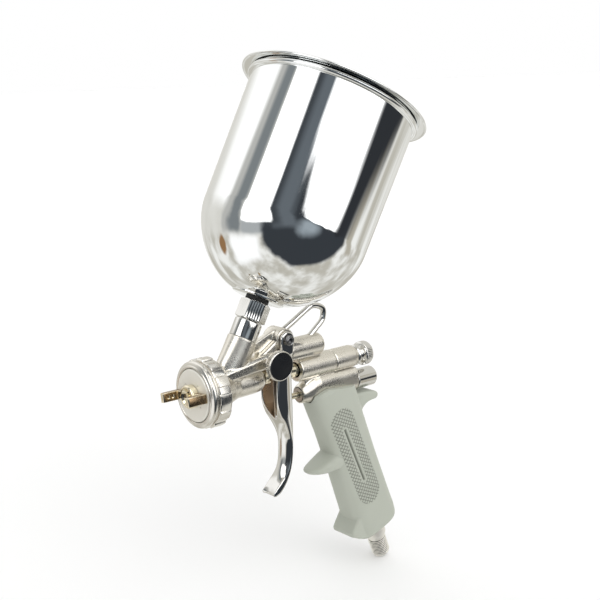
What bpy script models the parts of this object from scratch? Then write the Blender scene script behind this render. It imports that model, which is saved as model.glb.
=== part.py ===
"""Gravity-feed HVLP spray gun, as the separate pieces that it comes apart into.

Gun frame, in millimetres: X runs along the barrel towards the back (the nozzle points to -X), Z is up and
Y = 0 is the plane of symmetry. Its zero is where the cup's axis meets the barrel's axis. Every object hangs
from the empty gun_frame, which puts the world's origin at the crown of the hanging hook.
"""

import math

import bmesh
import bpy
from mathutils import Matrix, Vector

MM = 0.001
GAP = 0.3  # left between pieces that touch

# Cup, on an axis that leans back from the vertical
CUP_LEAN = 29.6
CUP_BOTTOM, CUP_SHOULDER, CUP_RIM = 60.0, 108.0, 197.2  # distances along the cup's axis
CUP_WALL_RADIUS, CUP_RIM_RADIUS, CUP_FOOT_RADIUS = 53.9, 55.4, 11.0
CUP_WALL = 1.5
CUP_BOWL_POWER = 1.75  # a little more pointed than an ellipse
BEAD_RADIUS = 57.9
NUT_CORNER_RADIUS = 10.1
LID_RADIUS = 63.0

# Front end
HEAD_RADIUS, HEAD_FRONT, HEAD_BACK = 18.1, -15.3, -7.4
RING_RADIUS, RING_BACK, RING_FRONT = 21.5, -8.4, -22.4
RING_LIP_RADIUS = 16.9
CAP_FACE = -22.8
HUB_RADIUS, HUB_FACE = 7.3, -27.6
HORN_TIP, HORN_INNER, HORN_OUTER, HORN_HALF_HEIGHT = -36.4, 11.5, 15.6, 2.9
HORN_TURN = -5.7  # degrees that the air cap is turned about the barrel

# Body
BARREL_RADIUS, BARREL_END = 8.5, 30.0
NEEDLE_HOUSING = (58.0, 88.0, 8.0)  # front, back, radius
BUSHING_RADIUS = 7.8
VALVE_Z = -17.3
CROWN_Z = -12.8
AIR_WAY_HALF_WIDTH = 8.9
BRIDGE_CYLINDER = (50.0, 78.7, 7.2, 14.5)  # front, back, radius, height
PIVOT = Vector((45.0, 0.0, 24.0))
FAN = Vector((32.0, 0.0, 11.0))
BRIDGE_HALF_WIDTH = 6.4
NEEDLE_RADIUS = 1.2
STEM_RADIUS = 2.0

# Grip, whose axis leans back from the vertical
GRIP_LEAN = 19.7
GRIP_TOP, GRIP_LENGTH = Vector((83.2, 0.0, -13.5)), 120.5
THREAD_RADIUS = 13.157 / 2  # G 1/4 male
INLET_REACH = 25.8  # from the grip's bottom to the end of the thread

HOOK_CROWN = Vector((79.0, 0.0, 39.5))
HOOK_ROD = 2.0

CUP_AXIS = Vector((math.sin(math.radians(CUP_LEAN)), 0, math.cos(math.radians(CUP_LEAN))))
GRIP_AXIS = Vector((math.sin(math.radians(GRIP_LEAN)), 0, -math.cos(math.radians(GRIP_LEAN))))
X, Y, Z = Vector((1, 0, 0)), Vector((0, 1, 0)), Vector((0, 0, 1))
ORIGIN = Vector((0, 0, 0))

FINISHES = {  # colour, metallic, roughness
    "satin_nickel": ((0.72, 0.69, 0.63), 1.0, 0.34),
    "bright_chrome": ((0.80, 0.80, 0.79), 1.0, 0.08),
    "polished_aluminium": ((0.91, 0.92, 0.92), 1.0, 0.05),
    "brass": ((0.80, 0.63, 0.36), 1.0, 0.25),
    "steel": ((0.62, 0.61, 0.58), 1.0, 0.28),
    "black_chrome": ((0.05, 0.05, 0.06), 1.0, 0.12),
    "grey_plastic": ((0.47, 0.49, 0.43), 0.0, 0.55),
    "white_ptfe": ((0.85, 0.85, 0.82), 0.0, 0.5),
    "dark_rubber": ((0.03, 0.03, 0.03), 0.0, 0.7),
}


def material(finish):
    found = bpy.data.materials.get(finish)
    if found:
        return found
    colour, metallic, roughness = FINISHES[finish]
    made = bpy.data.materials.new(finish)
    made.use_nodes = True
    shader = made.node_tree.nodes["Principled BSDF"]
    shader.inputs["Base Color"].default_value = (*colour, 1)
    shader.inputs["Metallic"].default_value = metallic
    shader.inputs["Roughness"].default_value = roughness
    return made


def piece(name, bm, finish, origin=ORIGIN):
    """Turns a mesh in gun-frame millimetres into an object whose own origin is at `origin`."""
    bmesh.ops.recalc_face_normals(bm, faces=bm.faces)
    bmesh.ops.translate(bm, verts=bm.verts, vec=-Vector(origin))
    bmesh.ops.scale(bm, verts=bm.verts, vec=(MM, MM, MM))
    mesh = bpy.data.meshes.new(name)
    bm.to_mesh(mesh)
    bm.free()
    mesh.shade_smooth()
    mesh.set_sharp_from_angle(angle=math.radians(35))
    mesh.materials.append(material(finish))
    obj = bpy.data.objects.new(name, mesh)
    bpy.context.scene.collection.objects.link(obj)
    obj.parent = FRAME
    obj.location = Vector(origin) * MM
    return obj


def combine(target, tool, operation):
    """Cuts `tool` from `target`, or joins it on, with a Boolean modifier; the tool stays as a hidden helper.

    The exact solver leaves open edges on the casting and the grip, where many round shapes nearly touch."""
    tool.hide_render = True
    tool.display_type = "WIRE"
    modifier = target.modifiers.new(tool.name, "BOOLEAN")
    modifier.operation = operation
    modifier.solver = "MANIFOLD" if target.name in ("gun_body", "grip") else "EXACT"
    modifier.object = tool


def cut(target, *tools):
    for tool in tools:
        combine(target, tool, "DIFFERENCE")


def join(target, *tools):
    for tool in tools:
        combine(target, tool, "UNION")


def across(axis):
    """Two unit vectors square to the axis; the first lies in the plane of symmetry where it can."""
    side = Y if abs(axis.y) < 0.9 else X
    first = side.cross(axis).normalized()
    return first, axis.cross(first).normalized()


def turned(name, profile, finish, start=ORIGIN, axis=X, sides=24, origin=ORIGIN, reach=None):
    """A turned solid. The profile lists (distance along axis, radius) round a closed outline.

    `reach` may give another radius for an angle and a radius, which makes hexagons and grip lobes."""
    axis = Vector(axis).normalized()
    first, second = across(axis)
    bm = bmesh.new()
    rings = []
    for along, radius in profile:
        middle = Vector(start) + axis * along
        if radius < 1e-6:
            rings.append([bm.verts.new(middle)])
            continue
        ring = []
        for i in range(sides):
            angle = 2 * math.pi * i / sides
            r = reach(angle, radius) if reach else radius
            ring.append(bm.verts.new(middle + (first * math.cos(angle) + second * math.sin(angle)) * r))
        rings.append(ring)
    for one, two in zip(rings, rings[1:] + rings[:1]):
        if len(one) == 1 and len(two) == 1:
            continue
        for i in range(sides):
            j = (i + 1) % sides
            if len(one) == 1:
                bm.faces.new((one[0], two[i], two[j]))
            elif len(two) == 1:
                bm.faces.new((one[i], two[0], one[j]))
            else:
                bm.faces.new((one[i], two[i], two[j], one[j]))
    return piece(name, bm, finish, origin)


def rod(name, radius, low, high, finish, chamfer=0.0, **placing):
    """A plain cylinder from `low` to `high` along its axis, with chamfered ends if asked."""
    if chamfer:
        profile = [(low, 0), (low, radius - chamfer), (low + chamfer, radius)]
        profile += [(high - chamfer, radius), (high, radius - chamfer), (high, 0)]
    else:
        profile = [(low, 0), (low, radius), (high, radius), (high, 0)]
    return turned(name, profile, finish, **placing)


def tube(name, outer, inner, low, high, finish, **placing):
    profile = [(low, inner), (low, outer), (high, outer), (high, inner)]
    return turned(name, profile, finish, **placing)


def hexagon(angle, radius):
    """Makes the outer radius of the cup nut six-sided, with a flat to the front, and leaves its bore round."""
    if radius < NUT_CORNER_RADIUS:
        return radius
    sector = math.pi / 3
    return radius * math.cos(sector / 2) / math.cos((angle + sector / 2) % sector - sector / 2)


def grip_lobes(angle, radius):
    """Raises every other stretch of the retaining ring's grip band."""
    lobes = 12
    return radius + (0.4 if radius >= RING_RADIUS and math.cos(lobes * angle + 0.1) > 0 else 0.0)


def prism(name, outline, half_width, finish, bevel=0.0, middle_y=0.0, segments=2, origin=ORIGIN):
    """An outline in X and Z, drawn out to both sides of middle_y."""
    bm = bmesh.new()
    near = [bm.verts.new((x, middle_y - half_width, z)) for x, z in outline]
    far = [bm.verts.new((x, middle_y + half_width, z)) for x, z in outline]
    bm.faces.new(near)
    bm.faces.new(far)
    for i in range(len(outline)):
        j = (i + 1) % len(outline)
        bm.faces.new((near[i], near[j], far[j], far[i]))
    bmesh.ops.recalc_face_normals(bm, faces=bm.faces)
    if bevel:
        ends = [edge for edge in bm.edges if abs(edge.verts[0].co.y - edge.verts[1].co.y) < 1e-6]
        bmesh.ops.bevel(bm, geom=ends, offset=bevel, segments=segments, affect="EDGES", profile=0.5)
    return piece(name, bm, finish, origin)


def smooth_line(points, steps):
    """A Catmull-Rom curve through the points."""
    points = [Vector(point) for point in points]
    padded = [2 * points[0] - points[1], *points, 2 * points[-1] - points[-2]]
    line = []
    for before, start, end, after in zip(padded, padded[1:], padded[2:], padded[3:]):
        for i in range(steps):
            t = i / steps
            line.append(
                0.5 * (2 * start + (end - before) * t + (2 * before - 5 * start + 4 * end - after) * t * t
                       + (3 * start - before - 3 * end + after) * t ** 3)
            )
    return line + [points[-1]]


def sweep(name, line, radius, finish, sides=8, origin=ORIGIN):
    """A round rod along a line of points, with flat ends."""
    bm = bmesh.new()
    side = None
    rings = []
    for i, point in enumerate(line):
        ahead = (line[min(i + 1, len(line) - 1)] - line[max(i - 1, 0)]).normalized()
        if side is None:
            side = across(ahead)[0]
        side = (side - ahead * side.dot(ahead)).normalized()
        other = ahead.cross(side)
        ring = []
        for k in range(sides):
            angle = 2 * math.pi * k / sides
            ring.append(bm.verts.new(point + (side * math.cos(angle) + other * math.sin(angle)) * radius))
        rings.append(ring)
    for one, two in zip(rings, rings[1:]):
        for k in range(sides):
            m = (k + 1) % sides
            bm.faces.new((one[k], one[m], two[m], two[k]))
    bm.faces.new(rings[0])
    bm.faces.new(rings[-1])
    return piece(name, bm, finish, origin)


def spring(name, start_x, end_x, height, coil_radius, wire, turns, origin=ORIGIN):
    """A compression spring along X."""
    steps = 8 * turns
    line = []
    for i in range(steps + 1):
        angle = 2 * math.pi * turns * i / steps
        along = start_x + (end_x - start_x) * i / steps
        line.append(Vector((along, coil_radius * math.cos(angle), height + coil_radius * math.sin(angle))))
    return sweep(name, line, wire, "steel", sides=4, origin=origin)


def loft(name, sections, finish, origin=ORIGIN):
    """A solid through closed rings of equal point count, capped at both ends."""
    bm = bmesh.new()
    rings = [[bm.verts.new(point) for point in ring] for ring in sections]
    for one, two in zip(rings, rings[1:]):
        for i in range(len(one)):
            j = (i + 1) % len(one)
            bm.faces.new((one[i], one[j], two[j], two[i]))
    bm.faces.new(rings[0])
    bm.faces.new(rings[-1])
    return piece(name, bm, finish, origin)


def rounded_ring(middle, along, half_length, half_width, power=3.6, points=28):
    """A superellipse in the plane of `along` and Y."""
    ring = []
    for i in range(points):
        angle = 2 * math.pi * (i + 0.5) / points
        c, s = math.cos(angle), math.sin(angle)
        reach_c = math.copysign(abs(c) ** (2 / power), c)
        reach_s = math.copysign(abs(s) ** (2 / power), s)
        ring.append(middle + along * half_length * reach_c + Y * half_width * reach_s)
    return ring


# Cup, lid and what joins them to the gun


def bowl_profile(shrink):
    """The cup's wall from its foot up to its rim, as (distance along axis, radius)."""
    steps = 8
    profile = []
    for i in range(steps + 1):
        angle = math.pi / 2 * (1 - i / steps)
        radius = CUP_FOOT_RADIUS + (CUP_WALL_RADIUS - CUP_FOOT_RADIUS) * math.cos(angle) ** (2 / CUP_BOWL_POWER)
        drop = (CUP_SHOULDER - CUP_BOTTOM) * math.sin(angle) ** (2 / CUP_BOWL_POWER)
        profile.append((CUP_SHOULDER - drop + shrink * math.sin(angle), radius - shrink * math.cos(angle)))
    profile.append((CUP_RIM - 3.5, CUP_RIM_RADIUS - shrink))
    return profile


def make_cup():
    outside = bowl_profile(0.0)
    inside = bowl_profile(CUP_WALL)
    rim = [(CUP_RIM - 3.0, BEAD_RADIUS - 0.9), (CUP_RIM - 1.6, BEAD_RADIUS), (CUP_RIM, BEAD_RADIUS - 0.6)]
    rim += [(CUP_RIM, CUP_RIM_RADIUS - CUP_WALL)]
    hole = 5.4
    foot_in = (CUP_BOTTOM + CUP_WALL, hole)
    foot_out = (CUP_BOTTOM, hole)
    profile = outside + rim + inside[::-1] + [foot_in, foot_out]
    turned("cup", profile, "polished_aluminium", axis=CUP_AXIS, sides=40)
    # outlet: a threaded spigot through the foot, with a flange inside the cup
    spigot = [(38.6, 3.4), (38.6, 5.0), (61.8, 5.0), (61.8, 9.0), (63.4, 9.0), (63.4, 3.4)]
    turned("cup_outlet", spigot, "steel", axis=CUP_AXIS, sides=16)
    tube("cup_gasket", 7.6, 5.4, 57.8, 59.7, "dark_rubber", axis=CUP_AXIS, sides=16)
    strainer = [(34.0, 0), (34.0, 2.2), (60.5, 2.6), (63.8, 3.0), (63.8, 6.0), (65.0, 6.0), (65.0, 0)]
    basket = turned("strainer", strainer, "white_ptfe", axis=CUP_AXIS, sides=20)
    hollow = rod("strainer_hollow", 1.7, 35.2, 70.0, "white_ptfe", axis=CUP_AXIS, sides=16)
    cut(basket, hollow)


def make_neck():
    tube("cup_nut", NUT_CORNER_RADIUS, 5.4, 45.0, 57.5, "bright_chrome", axis=CUP_AXIS, sides=24, reach=hexagon)
    profile = [(33.1, 4.6), (33.1, 8.9), (44.7, 8.9), (44.7, 5.3), (38.0, 5.3), (38.0, 4.6)]
    turned("inlet_fitting", profile, "bright_chrome", axis=CUP_AXIS, sides=24)


def make_lid():
    rim, under = CUP_RIM, CUP_RIM + GAP
    profile = [(rim + 4.2, 0), (rim + 4.2, 20), (rim + 3.4, 40), (rim + 2.0, 54), (rim + 2.0, LID_RADIUS - 1)]
    profile += [(rim + 1.2, LID_RADIUS), (under, LID_RADIUS - 0.8), (under, CUP_RIM_RADIUS - 2.0)]
    profile += [(rim - 6.0, CUP_RIM_RADIUS - 2.2), (rim - 6.0, CUP_RIM_RADIUS - 3.4), (rim + 0.6, CUP_RIM_RADIUS - 3.4)]
    profile += [(rim + 2.0, 40), (rim + 2.8, 20), (rim + 2.8, 0)]
    lid = turned("cup_lid", profile, "polished_aluminium", axis=CUP_AXIS, sides=40)
    cut(lid, rod("lid_vent_hole", 2.6, rim - 1, rim + 8, "steel", axis=CUP_AXIS, sides=20))
    plug = [(rim + 1.2, 0), (rim + 1.2, 2.2), (rim + 2.5, 2.2), (rim + 4.6, 2.2), (rim + 4.6, 4.6)]
    plug += [(rim + 6.4, 4.2), (rim + 6.8, 0)]
    turned("lid_vent_plug", plug, "dark_rubber", axis=CUP_AXIS, sides=20)


# Front end: retaining ring, air cap, nozzle


def make_front():
    profile = [(RING_BACK, 18.5), (RING_BACK, RING_RADIUS - 0.6), (RING_BACK - 0.6, RING_RADIUS)]
    profile += [(-17.2, RING_RADIUS), (-17.2, 20.3), (-18.4, 20.3), (-18.4, 20.9), (-20.6, 20.9)]
    profile += [(-21.8, 19.9), (RING_FRONT, 18.4), (RING_FRONT, RING_LIP_RADIUS)]
    profile += [(-20.5, RING_LIP_RADIUS), (-20.5, 18.5)]
    turned("cap_ring", profile[::-1], "satin_nickel", sides=48, reach=grip_lobes)
    turn = Matrix.Rotation(math.radians(HORN_TURN), 3, "X")
    # air cap: a dished disc with a flange that the ring clamps
    cap = [(-15.7, 14.8), (-15.7, 17.3), (-18.2, 17.3), (-18.2, 18.2), (-20.2, 18.2), (-20.2, 16.6)]
    cap += [(CAP_FACE + 0.4, 16.6), (CAP_FACE, 16.2), (CAP_FACE, 5.4), (-20.0, 5.4), (-20.0, 14.8)]
    turned("air_cap", cap[::-1], "satin_nickel", sides=24)
    # brass horn block: a bar with a round hub and a horn at each end
    base = CAP_FACE - GAP
    bar_outline = [(base, -HORN_OUTER), (HORN_TIP, -HORN_OUTER), (HORN_TIP, -HORN_INNER - 0.6),
                   (HUB_FACE + 1.0, -HORN_INNER)]
    bar_outline += [(x, -y) for x, y in reversed(bar_outline)]
    bm = bmesh.new()
    low = [bm.verts.new(turn @ Vector((x, y, -HORN_HALF_HEIGHT))) for x, y in bar_outline]
    high = [bm.verts.new(turn @ Vector((x, y, HORN_HALF_HEIGHT))) for x, y in bar_outline]
    bm.faces.new(low)
    bm.faces.new(high)
    for i in range(len(low)):
        j = (i + 1) % len(low)
        bm.faces.new((low[i], low[j], high[j], high[i]))
    horns = piece("air_horns", bm, "brass")
    hub = [(HUB_FACE, 0), (HUB_FACE, HUB_RADIUS - 0.8), (HUB_FACE + 0.8, HUB_RADIUS), (base, HUB_RADIUS)]
    hub += [(base, 5.0), (-20.2, 5.0), (-20.2, 0)]
    join(horns, turned("horn_hub", hub, "brass", sides=24))
    tools = [rod("horn_bore", 2.9, -40.0, -18.0, "brass", sides=20)]
    for x in (-32.6, -29.6):
        for side in (-1, 1):
            axis = turn @ Vector((0, side, 0))
            name = f"horn_hole_{'near' if side < 0 else 'far'}_{'front' if x < -31 else 'back'}"
            tools.append(rod(name, 0.6, HORN_INNER - 2.0, HORN_INNER + 2.0, "brass", start=(x, 0, 0),
                             axis=axis, sides=10))
    cut(horns, *tools)
    tube("air_distributor", 14.6, 8.6, -14.6, -11.4, "steel", sides=24)
    nozzle = [(-2.0, 1.6), (-2.0, 3.8), (-11.2, 3.8), (-11.2, 8.0), (-15.0, 8.0), (-17.4, 4.4), (-19.8, 2.5)]
    nozzle += [(-27.9, 2.4), (-27.9, 0.9), (-26.4, 0.9), (-22.0, 1.6)]
    turned("fluid_nozzle", nozzle[::-1], "brass", sides=16)


# Body casting


def make_body():
    body_finish = "satin_nickel"
    head = [(HEAD_FRONT, 0), (HEAD_FRONT, HEAD_RADIUS), (HEAD_BACK, HEAD_RADIUS), (-4.4, 14.0), (2.0, 10.4)]
    head += [(8.0, BARREL_RADIUS), (BARREL_END - 6, BARREL_RADIUS - 0.5), (BARREL_END - 1.6, 6.4)]
    head += [(BARREL_END, 4.4), (BARREL_END, 0)]
    body = turned("gun_body", head, body_finish, sides=28)
    neck_front = across(CUP_AXIS)[0]
    # distance along the cup's axis, half depth, half width: the neck spreads where it meets the barrel
    neck = [(0.0, 11.0, 8.0), (12.0, 10.7, 8.5), (22.0, 9.9, 8.9), (32.8, 9.4, 9.4)]
    solids = [
        loft("neck", [rounded_ring(CUP_AXIS * along, neck_front, depth, width, power=2.0, points=24)
                      for along, depth, width in neck], body_finish),
        prism("air_way", [(-6, 4.4), (27, 7.4), (34, 7.6), (34, 17), (30, 17), (22, 15.9), (-6, 11.8)],
              AIR_WAY_HALF_WIDTH, body_finish, bevel=1.5, segments=1),
        prism("bridge", [(24, 8.2), (70, 8.2), (70, 16), (56, 20.5), (44, 24), (38, 24), (30, 19), (24, 16)],
              BRIDGE_HALF_WIDTH, body_finish, bevel=1.2, segments=1),
        prism("gusset", [(18, 18), (45, 18), (44, 30.6), (40, 30.2), (20, 22.4)], 2.2, body_finish),
        rod("pivot_boss", 7.0, -6.9, 6.9, body_finish, chamfer=0.6, start=PIVOT, axis=Y, sides=24),
        rod("fan_boss", 5.2, 8.0, 10.6, body_finish, start=FAN, axis=-Y, sides=24),
        rod("bridge_cylinder", BRIDGE_CYLINDER[2], BRIDGE_CYLINDER[0], BRIDGE_CYLINDER[1], body_finish,
            chamfer=1.0, start=(0, 0, BRIDGE_CYLINDER[3]), sides=24),
        rod("needle_housing", NEEDLE_HOUSING[2], NEEDLE_HOUSING[0], NEEDLE_HOUSING[1], body_finish,
            start=ORIGIN, sides=24),
        turned("valve_housing", [(60, 0), (60, 5.8), (68, 7.0), (108, 7.2), (108, 0)], body_finish,
               start=(0, 0, VALVE_Z), sides=24),
        # the valve housing's upper half, which runs into the needle housing
        turned("valve_crown", [(61, 0), (61, 3.6), (65, 5.8), (71, 6.9), (107, 7.1), (107, 0)], body_finish,
               start=(0, 0, CROWN_Z), sides=24),
        prism("housing_web", [(63, VALVE_Z), (106, VALVE_Z), (106, CROWN_Z), (87.4, 0), (61, 0)], 6.4,
              body_finish),
    ]
    join(body, *solids)
    handle_bore = GRIP_TOP + GRIP_AXIS * 4
    cut(
        body,
        rod("nozzle_recess", 16.0, -16.0, -11.0, body_finish, sides=24),
        rod("nozzle_seat", 4.1, -12.0, 20.0, body_finish, sides=24),
        rod("packing_bore", 3.6, 19.0, 40.0, body_finish, sides=24),
        rod("fluid_way", 4.6, 1.0, 40.0, body_finish, axis=CUP_AXIS, sides=24),
        rod("needle_bore", 5.2, 56.0, 90.0, body_finish, sides=24),
        rod("bushing_room", BUSHING_RADIUS + GAP, NEEDLE_HOUSING[1], 112.0, body_finish, sides=24),
        rod("valve_bore", 5.2, 58.0, 110.0, body_finish, start=(0, 0, VALVE_Z), sides=24),
        rod("handle_bore", 5.3, 3.0, 20.0, body_finish, start=handle_bore, axis=GRIP_AXIS, sides=24),
        rod("pivot_bore", 2.8, -10.0, 10.0, body_finish, start=PIVOT, axis=Y, sides=20),
        rod("fan_bore", 3.2, -5.0, 12.0, body_finish, start=FAN, axis=-Y, sides=20),
    )
    hook_points = [(49.4, 0, 28.4), (57, 0, 32.2), (66, 0, 37.0), (73, 0, 40.2), HOOK_CROWN, (83.4, 0, 36.4),
                   (82.6, 0, 30.0), (77.0, 0, 25.0), (71.0, 0, 20.4)]
    line = smooth_line(hook_points, 3)
    sweep("hanging_hook", line, HOOK_ROD, body_finish)
    for name, end, back in (("front_socket", line[0], line[1]), ("rear_socket", line[-1], line[-2])):
        outward = (end - back).normalized()
        cut(body, rod(name, HOOK_ROD + GAP, -8.0, GAP, body_finish, start=end, axis=outward, sides=16))


# Needle and its adjustment


def make_needle():
    tip = [(-27.4, 0), (-27.2, 0.25), (-22.5, NEEDLE_RADIUS), (92.0, NEEDLE_RADIUS), (92.0, 0)]
    turned("fluid_needle", tip, "steel", sides=16)
    tube("needle_packing", 3.3, 1.5, 20.4, 25.0, "white_ptfe", sides=16)
    gland = [(25.3, 1.5), (25.3, 3.3), (30.4, 3.3), (30.4, 4.6), (34.6, 4.6), (34.6, 1.5)]
    turned("packing_nut", gland, "brass", sides=16)
    collar = [(48.4, 1.2 + GAP), (48.5, 1.8), (49.4, 4.0), (50.0, 4.4), (61.6, 4.4), (61.6, 1.2 + GAP)]
    turned("needle_collar", collar, "brass", sides=16)
    spring("needle_spring", 62.6, 83.6, 0.0, 3.4, 0.5, 7)
    bushing = [(84.6, 4.0), (84.6, 4.9), (88.3, 4.9), (88.3, BUSHING_RADIUS), (107.4, BUSHING_RADIUS)]
    bushing += [(108.0, BUSHING_RADIUS - 0.6), (108.0, 4.0)]
    turned("needle_bushing", bushing, "satin_nickel", sides=24)
    knob = [(89.0, 1.6), (89.0, 3.6), (108.4, 3.6), (108.4, 5.6), (109.4, 6.9), (111.4, 6.9), (112.4, 4.6)]
    knob += [(115.0, 4.6), (115.4, 7.4), (116.2, 8.2), (120.8, 8.2), (122.0, 7.2), (122.0, 0), (99.0, 0)]
    knob += [(99.0, 1.6)]
    turned("fluid_knob", knob, "satin_nickel", sides=24)


# Air valve


def make_air_valve():
    at = dict(start=(0, 0, VALVE_Z))
    stem = [(48.4, 0), (48.8, 0.9), (49.4, STEM_RADIUS - 0.3), (50.2, STEM_RADIUS), (70.0, STEM_RADIUS)]
    stem += [(70.0, 1.2), (98.0, 1.2), (98.0, 0)]
    turned("valve_stem", stem, "brass", sides=18, **at)
    gland = [(59.6, 2.3), (59.6, 4.8), (66.0, 4.8), (66.0, 2.3)]
    turned("valve_gland", gland, "steel", sides=16, **at)
    tube("valve_packing", 4.6, 2.3, 66.4, 69.0, "white_ptfe", sides=16, **at)
    poppet = [(71.0, 1.5), (71.0, 3.4), (73.0, 4.4), (77.0, 4.4), (77.0, 1.5)]
    turned("valve_disc", poppet, "brass", sides=16, **at)
    spring("valve_spring", 78.0, 102.0, VALVE_Z, 3.4, 0.5, 8)
    plug = [(112.0, 0), (112.0, 1.8), (103.0, 1.8), (103.0, 4.9), (108.4, 4.9), (108.4, 6.9), (125.2, 6.9)]
    plug += [(126.4, 5.8), (126.4, 0)]
    turned("valve_plug", plug, "bright_chrome", sides=28, **at)


# Trigger and its pivot


def make_trigger():
    outline = [(PIVOT.x - 5.4, PIVOT.z), (38.6, 12), (36.6, 2), (35.6, -8), (35.8, -17), (37.4, -24), (41.4, -33)]
    outline += [(43.4, -42), (43.4, -52), (42.2, -60), (39.0, -68), (31.6, -76), (31.6, -78.8), (34, -80)]
    outline += [(38, -78.4), (43.4, -71.6), (47.0, -63), (48.9, -52), (48.8, -38), (48.0, -24), (48.0, 6), (49.4, 14)]
    outline += [(PIVOT.x + 5.4, PIVOT.z)]
    top = [(PIVOT.x + 5.4 * math.cos(a), PIVOT.z + 5.4 * math.sin(a)) for a in
           [math.pi * k / 8 for k in range(1, 8)]]
    trigger = prism("trigger", outline + top, 9.9, "bright_chrome", bevel=0.8, segments=1, origin=PIVOT)
    throat = [(30, 36), (30, -20), (38.5, -26), (44.6, -24), (45.0, 4.0), (56, 4.0), (56, 36)]
    narrow = [(20, -34), (20, -90), (60, -90), (60, -34)]
    side_cuts = []
    for side in (-1, 1):
        side_cuts.append(prism(f"blade_side_{'near' if side < 0 else 'far'}", narrow, 4.0, "steel",
                               middle_y=side * 10.6))
    cut(
        trigger,
        prism("trigger_throat", throat, 7.6, "steel", origin=PIVOT),
        *side_cuts,
        rod("trigger_needle_slot", 2.6, 40.0, 52.0, "steel", sides=16),
        rod("trigger_pivot_hole", 2.8, -12.0, 12.0, "steel", start=PIVOT, axis=Y, sides=20),
    )
    tube("pivot_bush", 2.5, 1.5, -10.6, 10.2, "steel", start=PIVOT, axis=Y, sides=16)
    head = [(-10.9, 1.2), (-10.9, 3.3), (-12.2, 3.3), (-12.6, 2.9), (-12.6, 0)]
    screw = turned("pivot_screw", [(8.0, 0), (8.0, 1.2)] + head, "steel", start=PIVOT, axis=Y, sides=24)
    cut(screw, rod("pivot_socket", 1.5, -13.4, -11.2, "steel", start=PIVOT, axis=Y, sides=6))
    nut = [(8.4, 0), (8.4, 1.2), (10.5, 1.2), (10.5, 3.2), (11.8, 3.2), (11.8, 0)]
    turned("pivot_nut", nut, "steel", start=PIVOT, axis=Y, sides=16)


# Fan-width control on the near side


def make_fan_control():
    at = dict(start=FAN, axis=-Y)
    spindle = [(-3.0, 0), (-3.0, 0.6), (2.0, 2.0), (16.0, 2.0), (16.0, 0)]
    turned("fan_spindle", spindle, "steel", sides=18, origin=FAN, **at)
    gland = [(6.0, 2.3), (6.0, 2.9), (10.9, 2.9), (10.9, 5.2), (13.4, 5.2), (13.4, 2.3)]
    turned("fan_gland", gland, "satin_nickel", sides=16, **at)
    tube("fan_seal", 2.9, 2.3, 4.0, 5.6, "dark_rubber", sides=18, **at)
    knob = [(13.8, 2.3), (13.8, 8.4), (14.4, 9.6), (18.3, 9.6), (18.9, 9.1), (18.9, 0), (16.3, 0), (16.3, 2.3)]
    turned("fan_knob", knob, "black_chrome", sides=32, origin=FAN, **at)


# Grip, air tube and inlet


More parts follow.
